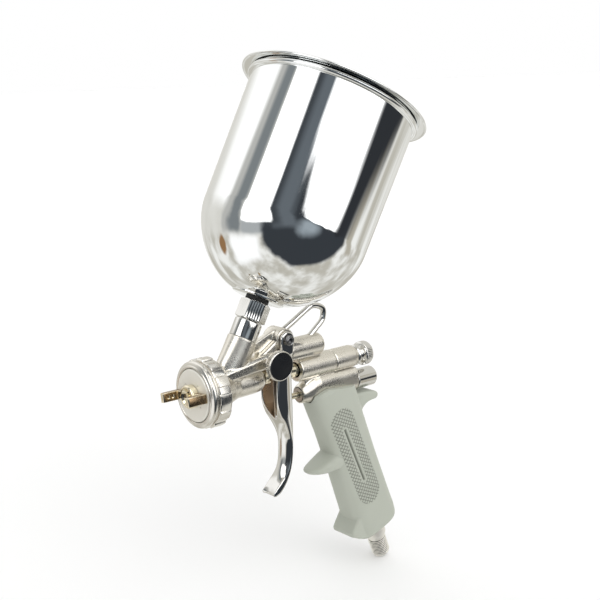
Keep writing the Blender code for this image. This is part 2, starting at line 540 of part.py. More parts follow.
def make_grip():
    along = Vector((GRIP_AXIS.z * -1, 0, GRIP_AXIS.x)).normalized()
    sections = []
    # distance down, half depth, shift of the middle towards the back, half width
    shape = [(0.0, 17.8, 0.0, 11.0), (3.0, 18.4, 0.0, 12.2), (14.0, 18.2, 0.2, 12.5), (32.0, 17.4, 0.4, 12.5),
             (66.0, 17.4, 0.2, 12.7), (96.0, 18.2, 0.0, 12.9), (112.5, 18.8, 0.0, 13.0), (118.0, 18.2, 0.0, 12.6),
             (GRIP_LENGTH, 17.0, 0.0, 11.4)]
    for down, depth, shift, width in shape:
        sections.append(rounded_ring(GRIP_TOP + GRIP_AXIS * down + along * shift, along, depth, width))
    grip = loft("grip", sections, "grey_plastic")
    # finger rest, a tongue that narrows to its tip: middle's x and z, half thickness, half width
    rest = []
    for x, z, thick, width in [(90.0, -67.5, 6.6, 10.4), (80.0, -70.2, 5.8, 10.2), (73.0, -71.4, 4.2, 9.2),
                               (68.0, -71.9, 2.9, 7.2), (65.0, -72.0, 2.0, 5.0), (63.6, -72.0, 1.2, 3.0)]:
        rest.append(rounded_ring(Vector((x, 0, z)), GRIP_AXIS, thick, width, power=2.6, points=20))
    foot = [(104, -109), (99.4, -118), (95.6, -123.6), (96.4, -126.8), (103, -129.6), (110, -131.2), (122, -127),
            (122, -109)]
    horn = [(92, -22), (100, -25.6), (115, -26.0), (123.4, -27.6), (124.8, -29.8), (122.6, -31.2), (114, -33.4),
            (109.4, -38), (107, -48), (92, -48)]
    join(grip,
         loft("finger_rest", rest, "grey_plastic"),
         prism("grip_foot", foot, 10.6, "grey_plastic", bevel=1.6),
         prism("grip_horn", horn, 7.6, "grey_plastic", bevel=1.2))
    saddle = [(59.4, 0), (59.4, 6.1), (67.6, 7.4), (112.0, 7.5), (112.0, 0)]
    plug_room = [(107.0, 0), (107.0, 7.5), (140.0, 7.5), (140.0, 0)]
    housing_room = prism("housing_room", [(55, VALVE_Z), (135, VALVE_Z), (135, 10), (55, 10)], 7.5, "grey_plastic")
    top_trim = prism("top_trim", [(50, -13.4), (135, -20.8), (135, 10), (50, 10)], 30.0, "grey_plastic")
    cut(grip,
        turned("saddle", saddle, "grey_plastic", start=(0, 0, VALVE_Z), sides=24),
        turned("plug_room", plug_room, "grey_plastic", start=(0, 0, VALVE_Z), sides=24),
        housing_room,
        top_trim,
        rod("tube_bore", 6.3, 5.0, 140.0, "grey_plastic", start=GRIP_TOP, axis=GRIP_AXIS, sides=24))
    tube("air_tube", 5.0, 3.8, 10.5, GRIP_LENGTH - 4.0, "steel", start=GRIP_TOP, axis=GRIP_AXIS, sides=24)
    # what screws into the grip's bottom, measured from there
    bottom = dict(start=GRIP_TOP + GRIP_AXIS * GRIP_LENGTH, axis=GRIP_AXIS, sides=24)
    tube("inlet_gasket", 7.4, 6.3, 0.3, 1.5, "dark_rubber", **bottom)
    nipple = [(-3.6, 3.8), (-3.6, 6.0), (1.8, 6.0), (1.8, 7.9), (8.4, 7.9), (9.0, 7.3), (9.0, 5.9), (10.8, 5.9)]
    nipple += [(10.8, THREAD_RADIUS), (24.4, THREAD_RADIUS), (INLET_REACH, 5.6), (INLET_REACH, 3.8)]
    turned("air_inlet", nipple, "satin_nickel", **bottom)


for old in list(bpy.data.objects):
    bpy.data.objects.remove(old)
FRAME = bpy.data.objects.new("gun_frame", None)
bpy.context.scene.collection.objects.link(FRAME)
FRAME.location = -(HOOK_CROWN - Z * HOOK_ROD) * MM
bpy.context.view_layer.update()

make_cup()
make_neck()
make_lid()
make_front()
make_body()
make_needle()
make_air_valve()
make_trigger()
make_fan_control()
make_grip()
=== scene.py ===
"""Looks of the gravity-feed HVLP spray gun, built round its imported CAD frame.

Shapes are drawn in the gun frame, in millimetres: X along the barrel to the back, Z up, Y = 0 the plane of
symmetry and zero where the cup's axis meets the barrel's. place() turns them into row-frame metres.
"""

import math

import bmesh
import bpy
from mathutils import Matrix, Vector, noise


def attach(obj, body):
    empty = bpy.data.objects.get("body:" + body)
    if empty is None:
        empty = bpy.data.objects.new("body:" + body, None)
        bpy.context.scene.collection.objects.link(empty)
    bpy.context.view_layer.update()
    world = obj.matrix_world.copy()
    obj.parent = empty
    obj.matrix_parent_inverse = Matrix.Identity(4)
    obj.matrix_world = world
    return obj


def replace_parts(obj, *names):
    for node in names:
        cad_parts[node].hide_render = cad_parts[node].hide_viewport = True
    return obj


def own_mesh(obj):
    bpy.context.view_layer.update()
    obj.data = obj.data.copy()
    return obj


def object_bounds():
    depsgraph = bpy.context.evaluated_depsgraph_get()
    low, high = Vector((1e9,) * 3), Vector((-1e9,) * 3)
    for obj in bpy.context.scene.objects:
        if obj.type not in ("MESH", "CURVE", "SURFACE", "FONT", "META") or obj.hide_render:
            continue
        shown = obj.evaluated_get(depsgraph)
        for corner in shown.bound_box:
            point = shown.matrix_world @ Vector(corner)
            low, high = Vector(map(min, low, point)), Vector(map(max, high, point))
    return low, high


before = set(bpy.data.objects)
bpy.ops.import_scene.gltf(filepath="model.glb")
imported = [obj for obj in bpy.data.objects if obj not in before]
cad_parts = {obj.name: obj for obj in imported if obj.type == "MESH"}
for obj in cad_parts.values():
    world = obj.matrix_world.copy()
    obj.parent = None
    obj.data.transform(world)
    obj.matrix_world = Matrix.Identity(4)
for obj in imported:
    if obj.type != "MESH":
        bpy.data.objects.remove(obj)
cad_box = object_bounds()

MM = 0.001
HOOK_CROWN_INSIDE = Vector((79.0, 0.0, 37.5))  # the row frame's origin
X, Y, Z = Vector((1, 0, 0)), Vector((0, 1, 0)), Vector((0, 0, 1))
ORIGIN = Vector((0, 0, 0))
CUP_LEAN, GRIP_LEAN = math.radians(29.6), math.radians(19.7)
CUP_AXIS = Vector((math.sin(CUP_LEAN), 0, math.cos(CUP_LEAN)))
GRIP_AXIS = Vector((math.sin(GRIP_LEAN), 0, -math.cos(GRIP_LEAN)))
GRIP_ALONG = Vector((math.cos(GRIP_LEAN), 0, math.sin(GRIP_LEAN)))
GRIP_TOP, GRIP_LENGTH = Vector((83.2, 0, -13.5)), 120.5
PIVOT = Vector((45.0, 0.0, 24.0))
FAN = Vector((32.0, 0.0, 11.0))
VALVE_Z, CROWN_Z = -17.3, -12.8
HORN_TURN = -5.7  # degrees about X
CUP_BOTTOM, CUP_SHOULDER, CUP_RIM = 60.0, 108.0, 197.2  # along the cup's axis
CUP_FOOT_RADIUS, CUP_RADIUS = 11.0, 53.9
CAST_VOXEL = 0.36
CHEQUER_PITCH = 3.0

# Node helpers


class Nodes:
    """Short ways to wire a node tree."""

    def __init__(self, tree):
        self.tree = tree

    def add(self, kind, inputs=(), **settings):
        node = self.tree.nodes.new(kind)
        for name, value in settings.items():
            setattr(node, name, value)
        for name, value in dict(inputs).items():
            socket = node.inputs[name]
            if isinstance(value, bpy.types.NodeSocket):
                self.tree.links.new(value, socket)
            else:
                socket.default_value = value
        return node

    def math(self, operation, a, b=0.0, c=0.0):
        return self.add("ShaderNodeMath", {0: a, 1: b, 2: c}, operation=operation).outputs[0]

    def step(self, value, low, high, out_low=0.0, out_high=1.0):
        node = self.add("ShaderNodeMapRange", {"Value": value, "From Min": low, "From Max": high,
                                               "To Min": out_low, "To Max": out_high},
                        interpolation_type="SMOOTHSTEP")
        return node.outputs["Result"]

    def mix(self, factor, a, b):
        node = self.add("ShaderNodeMix", data_type="RGBA")
        for socket, value in ((node.inputs[0], factor), (node.inputs[6], a), (node.inputs[7], b)):
            if isinstance(value, bpy.types.NodeSocket):
                self.tree.links.new(value, socket)
            else:
                socket.default_value = value
        return node.outputs[2]


def rgb(r, g, b):
    return (r, g, b, 1.0)


def noise_tex(n, coords, scale, detail=3.0, roughness=0.5, stretch=None):
    if stretch:
        coords = n.add("ShaderNodeMapping", {"Vector": coords, "Scale": stretch}).outputs[0]
    return n.add("ShaderNodeTexNoise", {"Vector": coords, "Scale": scale, "Detail": detail,
                                        "Roughness": roughness}).outputs["Fac"]


def metal(name, colour, tint, rough, rough_spread, grain_scale, bump, grain_stretch=None, spots=0.0,
          spot_colour=(0.35, 0.32, 0.28), metallic=1.0):
    """A metal whose colour and polish vary a little, with fine grain in its bump."""
    made = bpy.data.materials.new(name)
    made.use_nodes = True
    n = Nodes(made.node_tree)
    shader = made.node_tree.nodes["Principled BSDF"]
    coords = n.add("ShaderNodeTexCoord").outputs["Object"]
    broad = noise_tex(n, coords, 55.0, 3.0, 0.55)
    fine = noise_tex(n, coords, grain_scale, 2.0, 0.6, grain_stretch)
    base = n.mix(broad, rgb(*colour), rgb(*tint))
    if spots:
        mask = n.step(noise_tex(n, coords, 700.0, 2.0, 0.7), 0.62, 0.70, 0.0, spots)
        base = n.mix(mask, base, rgb(*spot_colour))
    made.node_tree.links.new(base, shader.inputs["Base Color"])
    shader.inputs["Metallic"].default_value = metallic
    rough_out = n.step(n.math("ADD", n.math("MULTIPLY", broad, 0.6), n.math("MULTIPLY", fine, 0.4)),
                       0.3, 0.7, max(rough - rough_spread, 0.0), rough + rough_spread)
    made.node_tree.links.new(rough_out, shader.inputs["Roughness"])
    if bump:
        bumped = n.add("ShaderNodeBump", {"Strength": bump, "Distance": 0.0001, "Height": fine})
        made.node_tree.links.new(bumped.outputs[0], shader.inputs["Normal"])
    return made


def plastic(name, colour, tint, rough, grain_scale, bump):
    made = metal(name, colour, tint, rough, 0.06, grain_scale, bump, metallic=0.0)
    shader = made.node_tree.nodes["Principled BSDF"]
    shader.inputs["IOR"].default_value = 1.46
    return made


MATERIALS = {
    "cast": metal("satin_nickel_cast", (0.86, 0.83, 0.76), (0.79, 0.75, 0.67), 0.29, 0.07, 1300.0, 0.42,
                  spots=0.15),
    "turned": metal("satin_nickel_turned", (0.82, 0.80, 0.75), (0.74, 0.71, 0.66), 0.2, 0.06, 900.0, 0.12,
                    grain_stretch=(6.0, 1.0, 1.0)),
    "cap": metal("satin_nickel_cap", (0.90, 0.89, 0.83), (0.85, 0.83, 0.77), 0.46, 0.05, 900.0, 0.15,
                 metallic=0.7),
    "spun": metal("brushed_aluminium_lid", (0.66, 0.67, 0.67), (0.58, 0.59, 0.59), 0.34, 0.05, 500.0, 0.1,
                  metallic=0.85),
    # painted shade: a dark brown brass for the air horns' flat faces
    "flat_side_shade": metal("painted_shade_brass", (0.30, 0.20, 0.11), (0.44, 0.32, 0.19), 0.24, 0.06, 1400.0, 0.15),
    "chrome": metal("bright_chrome_plate", (0.80, 0.79, 0.77), (0.75, 0.74, 0.71), 0.07, 0.03, 500.0, 0.04),
    "mirror": metal("polished_aluminium_spun", (0.93, 0.94, 0.94), (0.89, 0.90, 0.90), 0.035, 0.02, 300.0,
                    0.02),
    "brass": metal("machined_brass", (0.88, 0.82, 0.66), (0.80, 0.71, 0.52), 0.15, 0.06, 1400.0, 0.12,
                   spots=0.25, spot_colour=(0.35, 0.24, 0.12)),
    "steel": metal("machined_steel", (0.60, 0.59, 0.57), (0.50, 0.49, 0.47), 0.25, 0.08, 1500.0, 0.12),
    "satin": metal("satin_nickel_threaded", (0.90, 0.88, 0.82), (0.84, 0.81, 0.75), 0.4, 0.05, 1200.0, 0.1,
                   metallic=0.6),
    # painted shade: a brown nickel for the faces inside the trigger's window
    "window_shade": metal("painted_shade_window_nickel", (0.56, 0.44, 0.34), (0.66, 0.55, 0.44), 0.3, 0.07, 900.0, 0.2),
    "blackened": metal("blackened_steel", (0.26, 0.26, 0.27), (0.33, 0.33, 0.33), 0.26, 0.06, 1500.0, 0.1),
    "black": plastic("black_gloss_face", (0.003, 0.004, 0.006), (0.006, 0.007, 0.009), 0.3, 1600.0, 0.25),
    "grip": plastic("grey_moulded_plastic", (0.425, 0.447, 0.385), (0.455, 0.478, 0.415), 0.46, 2400.0, 0.25),
    "rubber": plastic("black_rubber", (0.025, 0.025, 0.025), (0.035, 0.035, 0.033), 0.65, 1800.0, 0.3),
    "ptfe": plastic("white_ptfe", (0.80, 0.80, 0.77), (0.74, 0.74, 0.71), 0.42, 1200.0, 0.1),
}


def chequer_line_shade(n):
    """Painted shade along the crossed lines of the chequered panel, where the mesh says that the panel is."""
    local = n.add("ShaderNodeTexCoord").outputs["Object"]
    reach = []
    for axis in (GRIP_AXIS + GRIP_ALONG, GRIP_AXIS - GRIP_ALONG):
        dot = n.add("ShaderNodeVectorMath", {0: local, 1: axis / (MM * CHEQUER_PITCH)},
                    operation="DOT_PRODUCT")
        phase = (HOOK_CROWN_INSIDE - GRIP_TOP).dot(axis) / CHEQUER_PITCH
        turns = n.math("FRACT", n.math("ADD", dot.outputs["Value"], phase))
        reach.append(n.math("ABSOLUTE", n.math("SUBTRACT", turns, 0.5)))
    panel = n.add("ShaderNodeAttribute", attribute_name="panel").outputs["Fac"]
    return n.math("MULTIPLY", n.step(n.math("MINIMUM", *reach), 0.09, 0.18, 0.66, 0.0), panel)


def paint_groove_shade(made, dark, depth, chequered=False):
    """Deepens the colour where the mesh says that a groove runs: painted shade in the grooves."""
    n = Nodes(made.node_tree)
    colour = made.node_tree.nodes["Principled BSDF"].inputs["Base Color"]
    base = colour.links[0].from_socket
    groove_shade = n.math("MULTIPLY", n.add("ShaderNodeAttribute", attribute_name="groove_shade").outputs["Fac"], depth)
    if chequered:
        groove_shade = n.math("MAXIMUM", groove_shade, chequer_line_shade(n))
    made.node_tree.links.new(n.mix(groove_shade, base, rgb(*dark)), colour)


# painted shade in the grip's slot and along its chequer lines, and in the inlet thread's grooves
paint_groove_shade(MATERIALS["grip"], (0.12, 0.125, 0.105), 0.85, chequered=True)
paint_groove_shade(MATERIALS["satin"], (0.03, 0.028, 0.025), 1.0)

# Shape helpers


def ramp(value, start, end):
    """0 at start and 1 at end, straight between them."""
    return min(1.0, max(0.0, (value - start) / (end - start)))


def to_row(point):
    """From gun-frame millimetres to row-frame metres; to_gun() is the way back."""
    return (Vector(point) - HOOK_CROWN_INSIDE) * MM


def to_gun(point):
    return point / MM + HOOK_CROWN_INSIDE


def place(name, bm, mat, body, angle=32.0):
    """Makes an object of a gun-frame mesh in the row frame, riding on body if one is named."""
    bmesh.ops.recalc_face_normals(bm, faces=bm.faces)
    bmesh.ops.translate(bm, verts=bm.verts, vec=-HOOK_CROWN_INSIDE)
    bmesh.ops.scale(bm, verts=bm.verts, vec=(MM, MM, MM))
    mesh = bpy.data.meshes.new(name)
    bm.to_mesh(mesh)
    bm.free()
    mesh.shade_smooth()
    mesh.set_sharp_from_angle(angle=math.radians(angle))
    mesh.materials.append(MATERIALS[mat])
    obj = bpy.data.objects.new(name, mesh)
    bpy.context.scene.collection.objects.link(obj)
    if body:
        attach(obj, body)
    return obj


def paint(obj, mat, chosen):
    """Gives a second material to the faces that chosen(centre, normal) picks."""
    obj.data.materials.append(MATERIALS[mat])
    for polygon in obj.data.polygons:
        if chosen(to_gun(polygon.center), polygon.normal):
            polygon.material_index = 1


def apply_modifiers(obj):
    graph = bpy.context.evaluated_depsgraph_get()
    mesh = bpy.data.meshes.new_from_object(obj.evaluated_get(graph))
    old = obj.data
    obj.modifiers.clear()
    obj.data = mesh
    bpy.data.meshes.remove(old)


def finish_smooth(obj, angle=32.0):
    obj.data.shade_smooth()
    obj.data.set_sharp_from_angle(angle=math.radians(angle))


def rounded(profile, radius, steps=3, closed=True):
    """Rounds each corner of a (along, radius) outline; a corner on the axis stays."""
    points = [Vector(point) for point in profile]
    out = []
    count = len(points)
    for i, point in enumerate(points):
        if point.y < 1e-6 or (not closed and i in (0, count - 1)):
            out.append(tuple(point))
            continue
        before, after = points[i - 1], points[(i + 1) % count]
        to_before, to_after = before - point, after - point
        reach = min(radius, to_before.length * 0.45, to_after.length * 0.45)
        if to_before.length < 1e-6 or to_after.length < 1e-6 or to_before.angle(to_after) > math.radians(168):
            out.append(tuple(point))
            continue
        start = point + to_before.normalized() * reach
        end = point + to_after.normalized() * reach
        for k in range(steps + 1):
            t = k / steps
            out.append(tuple((1 - t) ** 2 * start + 2 * t * (1 - t) * point + t * t * end))
    return out


def across(axis):
    """Two directions square to the axis and to each other."""
    side = Y if abs(axis.y) < 0.9 else X
    first = side.cross(axis).normalized()
    return first, axis.cross(first).normalized()


def skin_rings(bm, rings, closed):
    """Faces between neighbouring rings; a ring of one vertex is a point on the axis."""
    for one, two in zip(rings, rings[1:] + rings[:1] if closed else rings[1:]):
        count = max(len(one), len(two))
        if count == 1:
            continue
        for i in range(count):
            j = (i + 1) % count
            if len(one) == 1:
                bm.faces.new((one[0], two[i], two[j]))
            elif len(two) == 1:
                bm.faces.new((one[i], two[0], one[j]))
            else:
                bm.faces.new((one[i], two[i], two[j], one[j]))


def lathe_mesh(profile, axis=X, start=ORIGIN, sides=96, reach=None):
    """Turns an (along, radius) outline about the axis; reach(angle, radius, along) may change each radius."""
    axis = Vector(axis).normalized()
    first, second = across(axis)
    bm = bmesh.new()
    rings = []
    for along, radius in profile:
        middle = Vector(start) + axis * along
        if radius < 1e-6:
            rings.append([bm.verts.new(middle)])
            continue
        ring = []
        for i in range(sides):
            angle = 2 * math.pi * i / sides
            r = reach(angle, radius, along) if reach else radius
            ring.append(bm.verts.new(middle + (first * math.cos(angle) + second * math.sin(angle)) * r))
        rings.append(ring)
    skin_rings(bm, rings, True)
    return bm


def lathe(name, profile, mat, body, axis=X, start=ORIGIN, edge=0.25):
    return place(name, lathe_mesh(rounded(profile, edge), axis, start), mat, body)


def rod_mesh(radius, low, high, axis=X, start=ORIGIN, sides=64, edge=0.0):
    profile = [(low, 0), (low, radius), (high, radius), (high, 0)]
    return lathe_mesh(rounded(profile, edge, 5) if edge else profile, axis, start, sides)


def outline_mesh(outline, half_width, bevel=0.0, segments=3):
    """A plate of an (x, z) outline, half_width to each side of Y = 0, with its rims bevelled."""
    bm = bmesh.new()
    near = [bm.verts.new((x, -half_width, z)) for x, z in outline]
    far = [bm.verts.new((x, half_width, z)) for x, z in outline]
    bm.faces.new(near)
    bm.faces.new(far)
    for i in range(len(outline)):
        j = (i + 1) % len(outline)
        bm.faces.new((near[i], near[j], far[j], far[i]))
    bmesh.ops.recalc_face_normals(bm, faces=bm.faces)
    if bevel:
        ends = [edge for edge in bm.edges if abs(edge.verts[0].co.y - edge.verts[1].co.y) < 1e-6]
        bmesh.ops.bevel(bm, geom=ends, offset=bevel, segments=segments, affect="EDGES", profile=0.5)
    return bm


def spline(padded, steps):
    """Catmull-Rom points from the second of the padded points up to the last but one."""
    return [0.5 * (2 * start + (end - before) * t + (2 * before - 5 * start + 4 * end - after) * t * t
                   + (3 * start - before - 3 * end + after) * t ** 3)
            for before, start, end, after in zip(padded, padded[1:], padded[2:], padded[3:])
            for t in (k / steps for k in range(steps))]


def smooth_outline(points, steps):
    points = [Vector(point) for point in points]
    return [tuple(point) for point in spline([points[-1], *points, *points[:2]], steps)]


def smooth_line(points, steps):
    points = [Vector(point) for point in points]
    padded = [2 * points[0] - points[1], *points, 2 * points[-1] - points[-2]]
    return spline(padded, steps) + [points[-1]]


def section_mesh(sections):
    """A closed skin through rings of equal point count."""
    bm = bmesh.new()
    rings = [[bm.verts.new(point) for point in ring] for ring in sections]
    skin_rings(bm, rings, False)
    bm.faces.new(rings[0])
    bm.faces.new(rings[-1])
    return bm


def sweep_mesh(line, radius, sides=24):
    """A round rod along a line of points."""
    side = None
    sections = []
    for i, point in enumerate(line):
        ahead = (line[min(i + 1, len(line) - 1)] - line[max(i - 1, 0)]).normalized()
        if side is None:
            side = across(ahead)[0]
        side = (side - ahead * side.dot(ahead)).normalized()
        other = ahead.cross(side)
        sections.append([point + (side * math.cos(2 * math.pi * k / sides)
                                  + other * math.sin(2 * math.pi * k / sides)) * radius
                         for k in range(sides)])
    return section_mesh(sections)


def superellipse(middle, along, half_length, half_width, power, points=64):
    """A ring about middle, half_length in the direction along and half_width in Y."""
    ring = []
    for i in range(points):
        angle = 2 * math.pi * (i + 0.5) / points
        c, s = math.cos(angle), math.sin(angle)
        ring.append(middle + along * half_length * math.copysign(abs(c) ** (2 / power), c)
                    + Y * half_width * math.copysign(abs(s) ** (2 / power), s))
    return ring


def stadium(x, radius, high, low):
    """A ring square to X: two half circles, at heights high and low, joined by straight sides."""
    ring = []
    points = 96
    for i in range(points):
        angle = 2 * math.pi * (i + 0.5) / points
        middle = high if math.sin(angle) > 0 else low
        ring.append(Vector((x, radius * math.cos(angle), middle + radius * math.sin(angle))))
    return ring


def merged(meshes):
    """All the meshes in one, each turned the right way out."""
    whole = bmesh.new()
    for bm in meshes:
        bmesh.ops.recalc_face_normals(bm, faces=bm.faces)
        scratch = bpy.data.meshes.new("scratch")
        bm.to_mesh(scratch)
        bm.free()
        whole.from_mesh(scratch)
        bpy.data.meshes.remove(scratch)
    return whole


def fused(name, meshes, mat, body, smoothing, cuts):
    """One skin over overlapping closed shapes, its creases softened as in a casting, then cut."""
    obj = place(name, merged(meshes), mat, None)
    remesh = obj.modifiers.new("skin", "REMESH")
    remesh.mode, remesh.voxel_size, remesh.adaptivity = "VOXEL", CAST_VOXEL * MM, 0.0
    smooth = obj.modifiers.new("soften", "SMOOTH")
    smooth.factor, smooth.iterations = 0.5, smoothing
    apply_modifiers(obj)
    carve(obj, cuts)
    finish_smooth(obj, 40.0)
    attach(obj, body)
    return obj


def carve(obj, meshes, solver="MANIFOLD"):
    """Cuts the meshes out of the object."""
    tools = []
    for i, bm in enumerate(meshes):
        tool = place(f"tool_{obj.name}_{i}", bm, "steel", None)
        modifier = obj.modifiers.new(tool.name, "BOOLEAN")
        modifier.operation, modifier.solver, modifier.object = "DIFFERENCE", solver, tool
        tools.append(tool)
    apply_modifiers(obj)
    for tool in tools:
        mesh = tool.data
        bpy.data.objects.remove(tool)
        bpy.data.meshes.remove(mesh)


# Cup and lid


def bowl_profile(shrink):
    """The cup's wall from its foot to just under the rim, shrink inside its outer face."""
    bowl_steps, wall_steps, power, taper = 40, 24, 2 / 1.75, 1.5
    profile = []
    for i in range(bowl_steps + 1):
        angle = math.pi / 2 * (1 - i / bowl_steps)
        radius = CUP_FOOT_RADIUS + (CUP_RADIUS - CUP_FOOT_RADIUS) * math.cos(angle) ** power
        drop = (CUP_SHOULDER - CUP_BOTTOM) * math.sin(angle) ** power
        profile.append((CUP_SHOULDER - drop + shrink * math.sin(angle), radius - shrink * math.cos(angle)))
    for i in range(1, wall_steps + 1):
        t = i / wall_steps
        profile.append((CUP_SHOULDER + t * (CUP_RIM - 3.6 - CUP_SHOULDER), CUP_RADIUS + taper * t - shrink))
    return profile


def make_cup():
    foot = [(CUP_BOTTOM - 0.2, 5.4), (CUP_BOTTOM - 0.2, 16.2), (CUP_BOTTOM + 0.1, 16.9),
            (CUP_BOTTOM + 0.7, 17.0)]
    outside = [point for point in bowl_profile(0.0) if point[1] > 17.0]
    neck = [(CUP_RIM - 3.6, 55.4), (CUP_RIM - 3.35, 55.9)]
    roll = 1.7
    bead = [(CUP_RIM - roll * (1 + math.cos(math.pi * k / 12)), 56.3 + roll * math.sin(math.pi * k / 12))
            for k in range(13)]
    inside = bowl_profile(1.5)[::-1]
    profile = foot + outside + neck + bead + [(CUP_RIM - 0.4, 54.2)] + inside
    ripple = [noise.noise(Vector((0.0, 0.0, 3.1 * k))) for k in range(4)]

    def spun(angle, radius, along):
        """The slight out-of-round of a spun wall."""
        wave = sum(size * math.sin((k + 2) * angle + 5.0 * size) for k, size in enumerate(ripple))
        return radius * (1 + 0.0006 * wave * ramp(along, 64, 94))

    cup = place("cup_shell", lathe_mesh(profile, CUP_AXIS, sides=192, reach=spun), "mirror", "cup", 30.0)
    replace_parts(cup, "cup")
    rim = CUP_RIM
    top = [(rim + 4.2, 0), (rim + 4.2, 18), (rim + 3.7, 30), (rim + 3.1, 41), (rim + 2.9, 43),
           (rim + 1.9, 45), (rim + 1.8, 50), (rim + 2.2, 53), (rim + 2.2, 61.2), (rim + 1.7, 62.7),
           (rim + 1.0, 63.0), (rim + 0.35, 62.6), (rim + 0.7, 61.4), (rim + 0.8, 53.4), (rim - 5.6, 53.2),
           (rim - 6.0, 52.9), (rim - 5.6, 52.2), (rim - 0.6, 52.0), (rim + 0.4, 44.0), (rim + 1.6, 42.0),
           (rim + 2.6, 20), (rim + 2.6, 0)]
    lid = place("lid_shell", lathe_mesh(rounded(top, 0.8, 5), CUP_AXIS, sides=192), "mirror", "lid", 30.0)
    carve(lid, [rod_mesh(2.6, rim - 1, rim + 8, CUP_AXIS)])
    finish_smooth(lid, 30.0)

    def on_top(centre, normal):
        along = centre.dot(CUP_AXIS)
        return along > rim + 1.3 and (centre - CUP_AXIS * along).length < 60.0 and normal.dot(CUP_AXIS) > 0.2

    paint(lid, "spun", on_top)
    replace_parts(lid, "cup_lid")
    plug = [(rim + 1.2, 0), (rim + 1.2, 2.3), (rim + 4.6, 2.3), (rim + 4.6, 4.6), (rim + 6.4, 4.3),
            (rim + 6.9, 0)]
    vent = lathe("vent_plug_skin", plug, "rubber", "vent_plug", CUP_AXIS, edge=0.5)
    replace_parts(vent, "lid_vent_plug")


# Neck


def hexagon(angle, radius):
    """How far a hexagon with corners at this radius reaches at an angle."""
    sector = math.pi / 3
    return radius * math.cos(sector / 2) / math.cos((angle + sector / 2) % sector - sector / 2)


def make_neck():
    low, high, bore, corner, chamfer, flutes = 45.0, 57.5, 5.4, 10.1, 0.9, 36

    def six_sided(angle, radius, along):
        if radius < 6.0:
            return radius
        flute = 0.035 * (1 - math.cos(angle * flutes)) if low + chamfer < along < high - chamfer else 0.0
        return min(radius, hexagon(angle, corner)) - flute

    steps = [k / 6 for k in range(7)]
    flank = [(low, bore)] + [(low + chamfer * t, 8.2 + 1.9 * t) for t in steps] + [(low + 1.3, corner)]
    flank += [(high - 1.3, corner)] + [(high - chamfer * (1 - t), corner - 1.7 * t) for t in steps]
    flank += [(high, bore)]
    hexagonal = lathe_mesh(flank, CUP_AXIS, sides=12 * flutes, reach=six_sided)
    nut = place("cup_nut_skin", hexagonal, "chrome", "cup_nut", 24.0)
    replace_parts(nut, "cup_nut")
    collar = [(33.1, 4.6), (33.1, 8.9), (44.0, 8.9), (44.7, 8.3), (44.7, 5.3), (38.0, 5.3), (38.0, 4.6)]
    fitting = lathe("inlet_fitting_skin", collar, "chrome", "gun", CUP_AXIS, edge=0.2)
    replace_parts(fitting, "inlet_fitting")


# Front end


def make_front():
    ring_back, lobes = -8.4, 12

    def scallops(angle, radius, along):
        if radius < 20.7 or along < -18.3:
            return radius
        raised = ramp(math.cos(lobes * angle + 0.1) * 6.0 + 1.6, 0, 1)
        return radius + 0.85 * raised - 0.45

    band = [(ring_back, 18.5), (ring_back, 20.7), (ring_back - 0.7, 21.5), (-12.0, 21.5), (-16.5, 21.5),
            (-17.1, 20.9), (-17.2, 19.6), (-18.1, 19.5), (-18.3, 20.4), (-18.9, 20.9), (-20.3, 20.9),
            (-21.3, 20.4), (-21.8, 19.3), (-22.0, 18.6), (-22.5, 18.1), (-22.5, 17.3), (-22.0, 16.9),
            (-20.5, 16.9), (-20.5, 18.5)]
    padded = lathe_mesh(rounded(band, 0.35, 4)[::-1], sides=288, reach=scallops)
    ring = place("cap_ring_skin", padded, "turned", "ring", 30.0)
    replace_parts(ring, "cap_ring")
    face = [(-15.7, 14.8), (-15.7, 17.3), (-18.2, 17.3), (-18.2, 18.2), (-20.2, 18.2), (-20.2, 16.55),
            (-22.3, 16.5), (-22.8, 16.0), (-22.8, 14.2), (-22.7, 9.6), (-22.8, 7.9), (-22.8, 5.4),
            (-20.0, 5.4), (-20.0, 14.8)]
    cap = place("air_cap_skin", lathe_mesh(rounded(face, 0.25, 3)[::-1], sides=144), "cap", "air_cap", 30.0)
    turn = Matrix.Rotation(math.radians(HORN_TURN), 3, "X")
    holes = []
    for k in range(4):
        angle = math.pi / 2 * k + math.radians(45 + HORN_TURN)
        at = Vector((0, 9.4 * math.cos(angle), 9.4 * math.sin(angle)))
        holes.append(rod_mesh(0.45, -24.0, -18.0, X, at, 16))
    carve(cap, holes)
    finish_smooth(cap, 30.0)
    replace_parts(cap, "air_cap")
    make_horns(turn)


